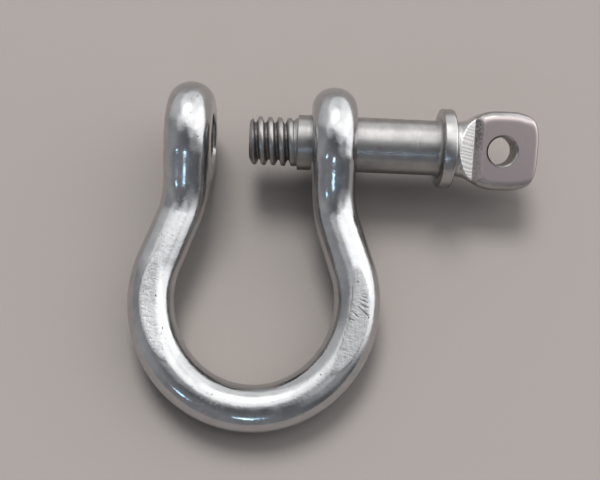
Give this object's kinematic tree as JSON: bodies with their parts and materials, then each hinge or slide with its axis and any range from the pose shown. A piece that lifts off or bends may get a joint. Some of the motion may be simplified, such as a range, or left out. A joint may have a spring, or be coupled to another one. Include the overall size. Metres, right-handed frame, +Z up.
{
  "type": "bow shackle",
  "caption": "Small stainless bow shackle with a screw pin that has a collar and an eye, shown with the pin partly drawn out.",
  "frame": {"origin": "centre of the bounding box at its base, on the surface that the shackle lies on", "axes": "+X along the pin from its threaded tip to its eye, +Y from the crown of the bow towards the ears, +Z up from the surface that the shackle lies on"},
  "size_m": [0.0516, 0.0442, 0.0145],
  "materials": {
    "bow_steel": "polished stainless steel with shallow ground flats on both sides of the bow",
    "pin_steel": "turned stainless steel, satin on the shank and thread, polished on the eye"
  },
  "bodies": {
    "bow": {"bow": "bow_steel"},
    "pin_slide": {"pin_collar": "pin_steel"},
    "pin": {"screw_pin": "pin_steel"}
  },
  "joints": [
    {"name": "pin_travel", "type": "slide", "parent": "bow", "child": "pin_slide", "axis": [1, 0, 0], "range_m": [-0.0109, 0.0159]},
    {"name": "pin_turn", "type": "hinge", "parent": "pin_slide", "child": "pin", "pos_m": [0, 0.01485, 0.00725], "axis": [1, 0, 0], "range_deg": [-3088, 4500]}
  ],
  "couplings": [
    {"joint": "pin_travel", "follows": "pin_turn", "m_per_rad": 0.00020213}
  ]
}
